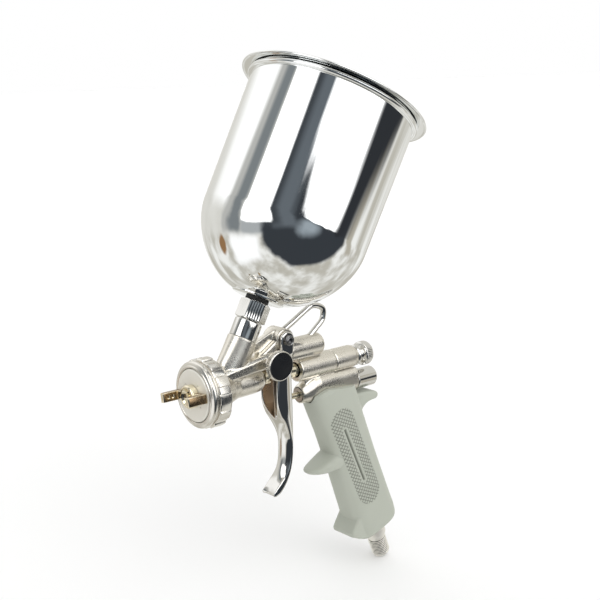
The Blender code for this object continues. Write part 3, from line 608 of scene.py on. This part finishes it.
def make_horns(turn):
    """The bar across the cap, with its hub and two horns."""
    base, hub_face, tip, inner, outer, half = -23.1, -27.6, -36.4, 11.5, 15.6, 2.9
    outline = [(base, -outer), (tip + 0.7, -outer), (tip, -outer + 0.9), (tip, -inner - 0.9),
               (tip + 0.5, -inner - 0.35), (hub_face + 1.9, -inner), (hub_face + 1.0, -inner + 1.2)]
    outline += [(x, -y) for x, y in reversed(outline)]
    bm = outline_mesh(outline, half)
    bmesh.ops.bevel(bm, geom=bm.edges[:], offset=0.3, segments=3, affect="EDGES", profile=0.5)
    lay_flat = turn @ Matrix.Rotation(math.pi / 2, 3, "X")
    bmesh.ops.transform(bm, matrix=lay_flat.to_4x4(), verts=bm.verts)
    horns = place("horn_block", bm, "brass", None)
    hub_profile = [(hub_face, 0), (hub_face, 6.6), (hub_face + 0.7, 7.3), (base, 7.3), (base, 5.0),
                   (-20.2, 5.0), (-20.2, 0)]
    hub = place("tool_hub", lathe_mesh(rounded(hub_profile, 0.4, 4), sides=96), "brass", None)
    union = horns.modifiers.new("hub", "BOOLEAN")
    union.operation, union.solver, union.object = "UNION", "EXACT", hub
    apply_modifiers(horns)
    bpy.data.objects.remove(hub)
    bores = [lathe_mesh([(-40, 0), (-40, 5.6), (hub_face - 0.3, 5.6), (-25.0, 3.2), (-18.0, 3.2), (-18.0, 0)],
                        sides=64)]
    for x in (-32.6, -29.6):
        for side in (-1, 1):
            axis = turn @ Vector((0, side, 0))
            hole = [(inner - 2.4, 0), (inner - 2.4, 1.35), (inner, 1.35), (inner + 0.7, 0.65),
                    (inner + 2.0, 0.65), (inner + 2.0, 0)]
            bores.append(lathe_mesh(hole, axis, (x, 0, 0), 24))
    carve(horns, bores, "EXACT")
    finish_smooth(horns, 30.0)

    def on_flat_side(centre, normal):
        facing = turn.inverted() @ normal
        beside = abs((turn.inverted() @ centre).y)
        return beside > 7.4 and abs(facing.x) < 0.12 and max(abs(facing.y), abs(facing.z)) > 0.99

    # painted shade: dark brown brass on the horns' flat faces, picked by which way they face
    paint(horns, "flat_side_shade", on_flat_side)
    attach(horns, "air_cap")
    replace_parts(horns, "air_horns")


# Body casting


def make_body():
    head = [(-15.3, 0), (-15.3, 18.1), (-7.4, 18.1), (-4.4, 14.2), (2.0, 10.4), (8.0, 8.5), (22.0, 8.1),
            (26.0, 7.5), (28.6, 6.0), (29.8, 3.6), (30.0, 0)]
    neck_front = across(CUP_AXIS)[0]
    neck = [superellipse(CUP_AXIS * along, neck_front, depth, width, 2.0, 96)
            for along, depth, width in ((0.0, 11.0, 8.0), (12.0, 10.7, 8.5), (22.0, 9.9, 8.9),
                                        (32.8, 9.4, 9.4))]
    # how the valve housing's crown rises out of its round front
    housing = [(60.0, 5.7, 0.0), (61.2, 6.1, 0.3), (63.0, 6.4, 0.9), (66.0, 6.8, 2.1), (70.0, 7.1, 3.5),
               (75.0, 7.2, 4.4), (82.0, 7.2, 4.6), (107.4, 7.2, 4.5), (108.0, 6.9, 4.3)]
    shapes = [
        lathe_mesh(head, sides=96),
        section_mesh(neck),
        # air way beside the barrel, bridge with its gusset, pivot boss and fan boss
        outline_mesh([(-6, 4.4), (27, 7.4), (34, 7.6), (34, 17), (30, 17), (22, 15.9), (-6, 11.8)], 9.2, 1.6,
                     segments=1),
        outline_mesh([(24, 8.2), (70, 8.2), (70, 16), (56, 20.5), (44, 24), (38, 24), (30, 19), (24, 16)],
                     6.4, 1.3),
        outline_mesh([(18, 18), (45, 18), (44, 30.6), (40, 30.2), (20, 22.4)], 2.2, 0.4),
        rod_mesh(7.0, -7.2, 7.2, Y, PIVOT, 96, 0.7),
        rod_mesh(5.2, 6.0, 10.6, -Y, FAN, 64, 0.5),
        # bridge cylinder, needle housing, valve housing and the web between them
        rod_mesh(7.2, 50.0, 78.7, X, (0, 0, 14.5), 96, 1.8),
        rod_mesh(8.0, 58.0, 88.0, X, ORIGIN, 96, 0.4),
        section_mesh([stadium(x, radius, VALVE_Z + lift, VALVE_Z) for x, radius, lift in housing]),
        outline_mesh([(64, CROWN_Z), (100, CROWN_Z), (87.4, -4), (62, -4)], 3.4),
    ]
    handle = GRIP_TOP + GRIP_AXIS * 4
    cuts = [
        # head, barrel and cup bores, then the bores behind the trigger, in the grip and across the gun
        rod_mesh(16.0, -16.5, -11.0),
        rod_mesh(4.1, -12.0, 20.0),
        rod_mesh(3.6, 19.0, 40.0),
        rod_mesh(4.6, 1.0, 40.0, CUP_AXIS),
        rod_mesh(5.2, 56.0, 90.0),
        rod_mesh(8.05, 88.0, 112.0),
        rod_mesh(5.2, 58.0, 110.0, X, (0, 0, VALVE_Z)),
        rod_mesh(5.3, 3.0, 20.0, GRIP_AXIS, handle),
        rod_mesh(2.8, -10.0, 10.0, Y, PIVOT),
        rod_mesh(3.2, -5.0, 12.0, -Y, FAN),
    ]
    body = fused("body_casting", shapes, "cast", "gun", 3, cuts)
    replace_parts(body, "gun_body")
    points = [(49.4, 0, 28.4), (57, 0, 32.2), (66, 0, 37.0), (73, 0, 40.2), (79.0, 0.0, 39.5),
              (83.4, 0, 36.4), (82.6, 0, 30.0), (77.0, 0, 25.0), (71.0, 0, 20.4)]
    hook = place("hook_rod", sweep_mesh(smooth_line(points, 10), 2.0), "chrome", "gun", 50.0)
    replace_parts(hook, "hanging_hook")


# Needle housing, knobs and plug


def make_controls():
    """The bushing, the fluid knob, the valve plug and the fan knob with its gland."""
    bushing = [(84.6, 4.0), (84.6, 4.9), (88.3, 4.9), (88.3, 7.5), (89.1, 7.8), (105.6, 7.8), (107.4, 7.4),
               (108.0, 6.6), (108.0, 4.0)]
    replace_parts(lathe("needle_bushing_skin", bushing, "cast", "gun", edge=0.3), "needle_bushing")
    knob = [(89.0, 1.6), (89.0, 3.6), (108.4, 3.6), (108.4, 5.2), (109.2, 6.7), (110.4, 7.1), (111.6, 6.7),
            (112.4, 4.9), (113.4, 4.3), (114.6, 4.6), (115.1, 7.2), (116.0, 8.2), (120.6, 8.2), (122.0, 7.2),
            (122.0, 0), (99.0, 0), (99.0, 1.6)]

    def knurled(angle, radius, along):
        if along < 115.8 or radius < 7.9:
            return radius
        return radius - 0.16 * (0.5 + 0.5 * math.cos(48 * angle))

    knob_mesh = lathe_mesh(rounded(knob, 0.35, 3), sides=288, reach=knurled)
    turned_knob = place("fluid_knob_skin", knob_mesh, "chrome", "fluid_control", 30.0)
    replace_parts(turned_knob, "fluid_knob")
    plug = [(112.0, 0), (112.0, 1.8), (103.0, 1.8), (103.0, 4.9), (108.4, 4.9), (108.4, 7.2), (109.6, 7.2),
            (109.8, 6.8), (125.0, 6.8), (126.4, 5.6), (126.4, 3.2), (125.8, 2.6), (125.8, 0)]
    valve_plug = lathe("valve_plug_skin", plug, "chrome", "gun", X, (0, 0, VALVE_Z), edge=0.3)
    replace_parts(valve_plug, "valve_plug")
    at = dict(axis=-Y, start=FAN)
    fan_knob = [(13.8, 2.3), (13.8, 8.2), (14.4, 9.3), (15.2, 9.6), (18.2, 9.6), (18.75, 9.25), (18.9, 8.9),
                (18.75, 8.75), (19.0, 6.0), (19.1, 0), (16.3, 0), (16.3, 2.3)]

    def fluted(angle, radius, along):
        if radius < 9.4 or along > 18.3:
            return radius
        return radius - 0.18 * (0.5 + 0.5 * math.cos(60 * angle))

    fan_mesh = lathe_mesh(rounded(fan_knob, 0.2, 3), sides=360, reach=fluted, **at)
    fan = place("fan_knob_skin", fan_mesh, "turned", "fan_control", 30.0)
    paint(fan, "black", lambda centre, normal:
          -centre.y > 18.6 and math.hypot(centre.x - FAN.x, centre.z - FAN.z) < 8.85)
    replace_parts(fan, "fan_knob")
    gland = [(6.0, 2.3), (6.0, 2.9), (10.9, 2.9), (10.9, 5.2), (12.6, 5.2), (13.4, 4.6), (13.4, 2.3)]
    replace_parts(lathe("fan_gland_skin", gland, "turned", "gun", **at), "fan_gland")


def make_springs():
    """Coils about the needle and the air valve, each built at one length."""
    for name, joint, low, high, height, turns, travel in (
            ("needle_spring", "needle_slide", 62.6, 83.6, 0.0, 7, 4.3),
            ("valve_spring", "valve_slide", 78.0, 102.0, VALVE_Z, 8, 7.3)):
        per_turn, coil_radius, wire_radius = 24, 3.4, 0.5
        line = []
        for k in range(per_turn * turns + 1):
            angle = 2 * math.pi * k / per_turn
            along = low + (high - low) * k / (per_turn * turns)
            line.append(Vector((along, coil_radius * math.cos(angle),
                                height + coil_radius * math.sin(angle))))
        coil = place(f"{name}_coil", sweep_mesh(line, wire_radius, 12), "steel", "gun", 40.0)
        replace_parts(coil, name)
        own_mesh(coil)


# Trigger and pivot


def edge_at(edge, height):
    """X of a falling (x, z) line at a height."""
    for high, low in zip(edge, edge[1:]):
        if height >= low.y:
            return high.x + (low.x - high.x) * ramp(height, high.y, low.y)
    return edge[-1].x


def shape_blade(trigger, front, rear, plate_half, throat_half):
    """Narrows the plate below its ears, hollows the blade's back and rounds its cheeks and tip."""
    for vert in trigger.data.vertices:
        point = to_gun(vert.co)
        if point.z > 14:
            continue
        forward = ramp(point.x, edge_at(rear, point.z), edge_at(front, point.z))
        down, depth, tip = ramp(point.z, -27, -43), ramp(point.z, -20, -94), ramp(point.z, -64, -78)
        narrow = min(1.0, depth * 2.6)
        half = plate_half - 3.1 * narrow * narrow * (3 - 2 * narrow) - 0.6 * depth
        cheek = ramp(abs(point.y), throat_half, plate_half) * (2 * forward - 1) ** 2 * (1 - down)
        new_y = point.y * half / plate_half * (1 - 0.11 * cheek)
        beside = (abs(new_y) / half) ** 2.2
        bulge = forward * (3.6 * down * (1 - tip) * beside + 1.6 * tip * (1 - beside))
        vert.co = to_row((point.x + bulge, new_y, point.z))


def make_trigger():
    plate_half, throat_half, throat_floor = 9.9, 7.6, -11.9
    front = smooth_line([(39.6, 24), (38.6, 12), (36.6, 2), (35.6, -8), (35.8, -17), (37.6, -24), (41.2, -33),
                         (43.2, -42), (43.4, -51), (42.2, -60), (38.8, -68), (33.4, -74.4), (31.0, -77.6)], 6)
    rear = smooth_line([(50.4, 24), (49.4, 14), (48.0, 6), (47.8, -10), (47.9, -24), (48.7, -38), (48.8, -52),
                        (46.9, -63), (43.2, -71.6), (38.0, -77.8), (33.4, -79.9)], 6)
    top = [(PIVOT.x + 5.4 * math.cos(math.pi * k / 24), PIVOT.z + 5.4 * math.sin(math.pi * k / 24))
           for k in range(1, 24)]
    outline = [tuple(point) for point in front + [Vector((31.4, -79.2))] + rear[::-1]] + top
    throat = [(30, 36), (30, throat_floor), (45.0, throat_floor), (45.0, 4.0), (56, 4.0), (56, 36)]
    # the open window below the throat, as (height, half width, back edge)
    window = [(-11.8, 7.6, 45.0), (-16.0, 7.3, 45.0), (-20.0, 6.4, 44.4), (-24.0, 4.6, 43.0),
              (-27.0, 2.6, 41.4), (-29.0, 0.6, 40.4)]
    opening = section_mesh([[Vector((x, side * half, z))
                             for x, side in ((28, -1), (back, -1), (back, 1), (28, 1))]
                            for z, half, back in window])
    trigger = place("trigger_blade", outline_mesh(outline, plate_half, 0.9), "chrome", None)
    carve(trigger, [outline_mesh(throat, throat_half), opening, rod_mesh(2.6, 40.0, 52.0),
                    rod_mesh(2.8, -12.0, 12.0, Y, PIVOT)], "EXACT")
    remesh = trigger.modifiers.new("skin", "REMESH")
    remesh.mode, remesh.voxel_size = "VOXEL", 0.34 * MM
    apply_modifiers(trigger)
    shape_blade(trigger, front, rear, plate_half, throat_half)
    soften = trigger.modifiers.new("soften", "SMOOTH")
    soften.factor, soften.iterations = 0.5, 14
    apply_modifiers(trigger)
    finish_smooth(trigger, 60.0)
    # painted shade: brown nickel on the faces inside the trigger's throat and window
    paint(trigger, "window_shade", lambda centre, normal:
          abs(centre.y) < 7.9 and -30 < centre.z < 18 and abs(normal.y) > 0.3 and centre.x > 36.6)
    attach(trigger, "trigger")
    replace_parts(trigger, "trigger")
    head = [(8.0, 0), (8.0, 1.2), (-10.9, 1.2), (-10.9, 3.3), (-12.0, 3.3), (-12.3, 2.9), (-12.05, 2.6),
            (-12.05, 2.4), (-12.6, 2.1), (-12.6, 0)]
    screw = place("pivot_screw_skin", lathe_mesh(rounded(head, 0.25, 4), Y, PIVOT, 96), "blackened", None)
    carve(screw, [rod_mesh(1.6, -13.4, -11.0, Y, PIVOT, 6)], "EXACT")
    finish_smooth(screw, 30.0)
    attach(screw, "gun")
    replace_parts(screw, "pivot_screw")


# Grip and inlet


def grip_parameters(down):
    """Half depth, shift to the back and half width of the grip at a distance down its axis."""
    table = [(0.0, 17.8, 0.0, 11.0), (3.0, 18.4, 0.0, 12.2), (14.0, 18.2, 0.2, 12.5), (32.0, 17.4, 0.4, 12.5),
             (66.0, 17.4, 0.2, 12.7), (96.0, 18.2, 0.0, 12.9), (112.5, 18.8, 0.0, 13.0),
             (118.0, 18.2, 0.0, 12.6), (GRIP_LENGTH, 17.0, 0.0, 11.4)]
    for low, high in zip(table, table[1:]):
        if down <= high[0]:
            t = (down - low[0]) / (high[0] - low[0])
            return [a + (b - a) * t for a, b in zip(low[1:], high[1:])]
    return list(table[-1][1:])


def make_grip():
    sections = []
    stops = [0.0, 0.8, 1.6, 3.0] + [6.0 + 3.0 * k for k in range(36)]
    stops += [115.0, 117.0, 118.6, 119.8, GRIP_LENGTH]
    for down in stops:
        depth, shift, width = grip_parameters(down)
        middle = GRIP_TOP + GRIP_AXIS * down + GRIP_ALONG * shift
        sections.append(superellipse(middle, GRIP_ALONG, depth, width, 3.4))
    # the finger rest from its root to its tip, as (x, z, half thickness, half width)
    tongue = [(90.0, -67.5, 6.8, 10.8), (84.0, -69.4, 6.3, 10.6), (78.0, -71.0, 5.0, 9.8),
              (73.0, -71.9, 3.8, 8.6), (69.5, -72.3, 2.9, 7.2), (67.0, -72.4, 2.3, 5.6),
              (65.4, -72.4, 1.8, 4.2), (64.6, -72.4, 1.2, 2.8), (64.2, -72.4, 0.6, 1.4)]
    rest = [superellipse(Vector((x, 0, z)), GRIP_AXIS, thick, width, 2.6) for x, z, thick, width in tongue]
    foot = [(106, -107), (101.2, -114.5), (97.4, -120.4), (95.4, -124.0), (95.9, -126.4), (103, -129.6),
            (110, -131.2), (122, -127), (122, -107)]
    horn = smooth_outline([(92, -22), (100, -25.2), (110, -25.2), (118, -25.8), (124.0, -27.2),
                           (125.6, -29.8), (123.8, -32.2), (116.6, -33.2), (111.2, -36.6), (108.0, -43),
                           (104, -50), (94, -50)], 5)
    saddle = lathe_mesh([(59.4, 0), (59.4, 6.1), (67.6, 7.4), (112.0, 7.5), (112.0, 0)], X,
                        (0, 0, VALVE_Z), 96)
    plug_room = rod_mesh(7.5, 107.0, 140.0, X, (0, 0, VALVE_Z), 96)
    housing_room = outline_mesh([(55, VALVE_Z), (135, VALVE_Z), (135, 10), (55, 10)], 7.5)
    top_trim = outline_mesh([(50, -13.4), (135, -20.8), (135, 10), (50, 10)], 30.0)
    skin = fused(
        "grip_shell",
        [section_mesh(sections), section_mesh(rest), outline_mesh(foot, 10.8, 1.8, segments=4),
         outline_mesh(horn, 7.8, 1.6, segments=4)],
        "grip", "gun", 12,
        [saddle, plug_room, housing_room, top_trim, rod_mesh(6.3, 5.0, 140.0, GRIP_AXIS, GRIP_TOP)])
    chequer(skin)
    finish_smooth(skin, 50.0)
    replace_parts(skin, "grip")


def make_inlet():
    """The nipple under the grip: its collar, then a helical thread over its outside."""
    bottom = dict(axis=GRIP_AXIS, start=GRIP_TOP + GRIP_AXIS * GRIP_LENGTH)
    collar = [(-3.6, 3.8), (-3.6, 6.0), (1.8, 6.0), (1.8, 7.9), (8.0, 7.9), (9.0, 7.2), (9.0, 5.9),
              (10.8, 5.9), (10.8, 5.95), (11.4, 6.0)]
    crest, pitch, half_height, start, end = 13.157 / 2, 1.337, 0.55, 11.5, 24.9
    sides, rows_per_turn = 72, 8
    thread_rows = int((end - start + 0.6) / pitch * rows_per_turn)
    rows = [(along, radius, 0.0) for along, radius in rounded(collar, 0.25, 3, closed=False)]
    for k in range(thread_rows + 1):
        fade = min(1.0, (k + 1) / 5, (thread_rows - k + 1) / 7)
        rows.append((start + (end - start) * k / thread_rows, crest - half_height - 0.35 * (1 - fade),
                     half_height * fade))
    rows += [(25.4, 5.7, 0.0), (25.8, 5.3, 0.0), (25.8, 4.1, 0.0), (25.5, 3.8, 0.0)]
    first, second = across(GRIP_AXIS)
    bm = bmesh.new()
    rings, shades = [], []
    for along, mean, wave in rows:
        ring = []
        middle = bottom["start"] + GRIP_AXIS * along
        for i in range(sides):
            angle = 2 * math.pi * i / sides
            from_crest = 4 * abs((along / pitch + i / sides) % 1.0 - 0.5)
            reach = mean + wave * (1 - from_crest)
            ring.append(bm.verts.new(middle + (first * math.cos(angle) + second * math.sin(angle)) * reach))
            # painted shade, laid on the lower half of the thread's groove
            shades.append(ramp(wave * (from_crest - 1), 0, 0.125))
        rings.append(ring)
    skin_rings(bm, rings, True)
    inlet = place("air_inlet_skin", bm, "satin", "gun", 28.0)
    inlet.data.attributes.new("groove_shade", "FLOAT", "POINT").data.foreach_set("value", shades)
    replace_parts(inlet, "air_inlet")
    gasket = [(0.3, 6.3), (0.3, 8.1), (1.6, 8.1), (1.6, 6.3)]
    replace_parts(lathe("inlet_gasket_skin", gasket, "rubber", "gun", edge=0.3, **bottom), "inlet_gasket")


def to_segment(point, start, end):
    """How far a point is from the line between start and end."""
    span = end - start
    return (point - start - span * ramp((point - start).dot(span), 0, span.length_squared)).length


def chequer(skin):
    """Presses the chequered panel and its long slot into both sides of the grip, and marks the slot and the
    panel for painted shade.
    """
    panel_ends = Vector((88.0, 0, -40.0)), Vector((110.2, 0, -94.5))
    slot_ends = Vector((89.6, 0, -46.2)), Vector((105.6, 0, -85.2))
    half_panel, half_slot, margin = 9.6, 0.5, 1.8
    slot_depth, line_depth, line_half = 1.5, 0.45, 0.13
    groove_shade = skin.data.attributes.new("groove_shade", "FLOAT", "POINT")
    panel = skin.data.attributes.new("panel", "FLOAT", "POINT")
    for i, vert in enumerate(skin.data.vertices):
        point = to_gun(vert.co)
        flat = Vector((point.x, 0, point.z))
        if abs(point.y) < 10.0 or to_segment(flat, *panel_ends) > half_panel:
            continue
        to_slot = to_segment(flat, *slot_ends)
        if to_slot < half_slot + margin:
            # painted shade in the slot, deepest at its middle
            shade = ramp(to_slot, half_slot + 0.5, half_slot - 0.2)
            groove_shade.data[i].value = shade
            press = slot_depth * shade
        else:
            # painted shade along the chequer lines is laid on where this mask is 1
            panel.data[i].value = 1.0
            along = (flat - GRIP_TOP).dot(GRIP_AXIS) / CHEQUER_PITCH
            beside = (flat - GRIP_TOP).dot(GRIP_ALONG) / CHEQUER_PITCH
            off_line = min(abs((along + beside) % 1.0 - 0.5), abs((along - beside) % 1.0 - 0.5))
            press = line_depth * max(0.0, 1 - off_line / line_half)
        vert.co.y -= math.copysign(press, point.y) * MM


# CAD pieces that stay, with better materials


def dress_frame():
    finishes = {
        "turned": ("cup_outlet", "air_distributor"),
        "brass": ("fluid_nozzle", "packing_nut", "needle_collar", "valve_stem", "valve_disc"),
        "steel": ("fluid_needle", "valve_gland", "pivot_bush", "pivot_nut", "fan_spindle", "air_tube"),
        "ptfe": ("needle_packing", "valve_packing", "strainer"),
        "rubber": ("cup_gasket", "fan_seal"),
    }
    for finish, names in finishes.items():
        for name in names:
            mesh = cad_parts[name].data
            if not mesh.materials:
                mesh.materials.append(MATERIALS[finish])
            for i in range(len(mesh.materials)):
                mesh.materials[i] = MATERIALS[finish]


# Studio


def make_world():
    """A pale studio for the metal to mirror: two softboxes in front, the dark of the room below them."""
    world = bpy.data.worlds.new("studio")
    world.use_nodes = True
    tree = world.node_tree
    tree.nodes.clear()
    n = Nodes(tree)
    direction = n.add("ShaderNodeTexCoord").outputs["Generated"]
    parts = n.add("ShaderNodeSeparateXYZ", {0: direction}).outputs
    azimuth = n.math("MULTIPLY", n.math("ARCTAN2", parts["Y"], parts["X"]), 180 / math.pi)
    azimuth = n.math("WRAP", azimuth, 360.0, 0.0)
    height = n.math("MULTIPLY", n.math("ARCSINE", parts["Z"]), 180 / math.pi)
    clouds = noise_tex(n, direction, 3.0, 3.0, 0.5)
    wobble = n.math("SUBTRACT", noise_tex(n, direction, 2.6, 3.0, 0.45), 0.5)
    azimuth = n.math("ADD", azimuth, n.math("MULTIPLY", wobble, 17.0))
    height = n.math("ADD", height, n.math("MULTIPLY", wobble, 8.0))

    def card(colour, onto, azimuths, heights, soft=3.0, soft_height=None):
        soft_height = soft_height or soft
        mask = n.step(azimuth, azimuths[0] - soft, azimuths[0] + soft)
        mask = n.math("MULTIPLY", mask, n.step(azimuth, azimuths[1] - soft, azimuths[1] + soft, 1.0, 0.0))
        mask = n.math("MULTIPLY", mask, n.step(height, heights[0] - soft_height, heights[0] + soft_height))
        mask = n.math("MULTIPLY", mask,
                      n.step(height, heights[1] - soft_height, heights[1] + soft_height, 1.0, 0.0))
        return n.mix(mask, onto, rgb(*colour))

    def oval(colour, onto, centre, axes, soft):
        across_ = n.math("DIVIDE", n.math("SUBTRACT", azimuth, centre[0]), axes[0])
        up = n.math("DIVIDE", n.math("SUBTRACT", height, centre[1]), axes[1])
        reach = n.math("SQRT", n.math("ADD", n.math("MULTIPLY", across_, across_),
                                      n.math("MULTIPLY", up, up)))
        return n.mix(n.step(reach, 1 - soft, 1 + soft, 1.0, 0.0), onto, rgb(*colour))

    # the room, its table and what stands about, from back to front
    pale = n.mix(clouds, rgb(0.64, 0.63, 0.58), rgb(0.82, 0.81, 0.77))
    table = n.mix(n.step(clouds, 0.35, 0.65), rgb(0.52, 0.50, 0.44), rgb(0.92, 0.92, 0.89))
    sky = n.mix(n.step(height, -16.0, -6.0), table, pale)
    # a wide reflector behind, and the dark gap beside it
    sky = card((1.15, 1.15, 1.14), sky, (60, 137), (17, 90), 9)
    sky = card((0.50, 0.50, 0.48), sky, (134, 150), (-8, 80), 5)
    sky = card((0.21, 0.23, 0.24), sky, (146, 166), (-8, 80), 5)
    # warm and grey odds and ends low down
    sky = oval((0.30, 0.17, 0.08), sky, (131, -18), (5, 7), 0.3)
    sky = card((0.48, 0.45, 0.38), sky, (322, 334), (-34, 24), 3)
    sky = card((0.42, 0.44, 0.45), sky, (166, 208), (-9, 8), 4)
    sky = card((1.1, 1.1, 1.1), sky, (146, 192), (-38, -10), 5)
    # the dark of the room behind the camera
    sky = oval((0.040, 0.046, 0.054), sky, (258, -6), (62, 47), 0.07)
    sky = card((0.13, 0.15, 0.17), sky, (211, 243), (0, 64), 5)
    sky = card((0.055, 0.063, 0.072), sky, (200, 222), (2, 64), 8)
    sky = oval((0.34, 0.39, 0.43), sky, (260, 0), (14, 12), 0.6)
    sky = card((0.030, 0.033, 0.038), sky, (300, 342), (-12, 3), 3)
    # the two softboxes; the second one's lower edge falls away in a curve
    sky = card((2.2, 2.2, 2.2), sky, (168, 210), (7, 66), 2.5)
    beyond = n.math("SUBTRACT", azimuth, 242.0)
    falling = n.math("MULTIPLY", beyond, n.math("SUBTRACT", 0.93, n.math("MULTIPLY", beyond, 0.0056)))
    box = n.step(n.math("ADD", height, falling), 29.0, 33.0)
    box = n.math("MULTIPLY", box, n.step(height, 66.0, 72.0, 1.0, 0.0))
    box = n.math("MULTIPLY", box, n.step(azimuth, 238.0, 242.0))
    box = n.math("MULTIPLY", box, n.step(azimuth, 301.0, 306.0, 1.0, 0.0))
    sky = n.mix(box, sky, rgb(2.2, 2.2, 2.2))
    # plain light for rough surfaces, and plain white for the camera
    path = n.add("ShaderNodeLightPath").outputs
    fill = n.mix(n.step(parts["X"], -0.9, 0.5), rgb(0.46, 0.46, 0.45), rgb(1.14, 1.14, 1.14))
    seen = n.mix(path["Is Diffuse Ray"], sky, fill)
    seen = n.mix(path["Is Camera Ray"], seen, rgb(1.0, 1.0, 1.0))
    background = n.add("ShaderNodeBackground", {"Color": seen, "Strength": 1.0})
    out = n.add("ShaderNodeOutputWorld")
    tree.links.new(background.outputs[0], out.inputs["Surface"])
    bpy.context.scene.world = world


def make_studio():
    low = cad_box[0][2]
    bm = bmesh.new()
    bmesh.ops.create_grid(bm, x_segments=1, y_segments=1, size=80.0)
    bmesh.ops.translate(bm, verts=bm.verts, vec=(0, 0, low - 0.0005))
    mesh = bpy.data.meshes.new("floor")
    bm.to_mesh(mesh)
    bm.free()
    floor = bpy.data.objects.new("floor", mesh)
    bpy.context.scene.collection.objects.link(floor)
    pale = bpy.data.materials.new("pale_floor")
    pale.use_nodes = True
    n = Nodes(pale.node_tree)
    shader = pale.node_tree.nodes["Principled BSDF"]
    mottle = noise_tex(n, n.add("ShaderNodeTexCoord").outputs["Object"], 4.0)
    pale.node_tree.links.new(n.mix(mottle, rgb(0.96, 0.96, 0.96), rgb(0.98, 0.98, 0.98)),
                             shader.inputs["Base Color"])
    shader.inputs["Roughness"].default_value = 0.9
    mesh.materials.append(pale)
    floor.visible_glossy = False

    data = bpy.data.lights.new("key", "SUN")
    data.energy, data.angle = 0.55, math.radians(50)
    sun = bpy.data.objects.new("key", data)
    bpy.context.scene.collection.objects.link(sun)
    sun.rotation_euler = Vector((-0.25, -0.72, 0.72)).to_track_quat("Z", "Y").to_euler()
    sun.visible_glossy = False


def make_camera():
    turn, tilt, roll = math.radians(-39.65), math.radians(11.63), math.radians(-1.96)
    back = Vector((math.sin(turn) * math.cos(tilt), -math.cos(turn) * math.cos(tilt), math.sin(tilt)))
    right = (-back).cross(Z).normalized()
    up = right.cross(-back)
    right, up = (math.cos(roll) * right + math.sin(roll) * up, -math.sin(roll) * right + math.cos(roll) * up)
    position = Vector((-369.86, -523.66, 185.63)) - HOOK_CROWN_INSIDE
    data = bpy.data.cameras.new("camera")
    data.lens, data.sensor_width = 64.25, 36.0
    camera = bpy.data.objects.new("camera", data)
    bpy.context.scene.collection.objects.link(camera)
    rotation = Matrix((right, up, back)).transposed().to_4x4()
    camera.matrix_world = Matrix.Translation(position * MM) @ rotation
    bpy.context.scene.camera = camera


bpy.context.scene.view_settings.view_transform = "Standard"
make_camera()
make_world()
make_studio()
make_cup()
make_neck()
make_front()
make_body()
make_controls()
make_springs()
make_trigger()
make_grip()
make_inlet()
dress_frame()
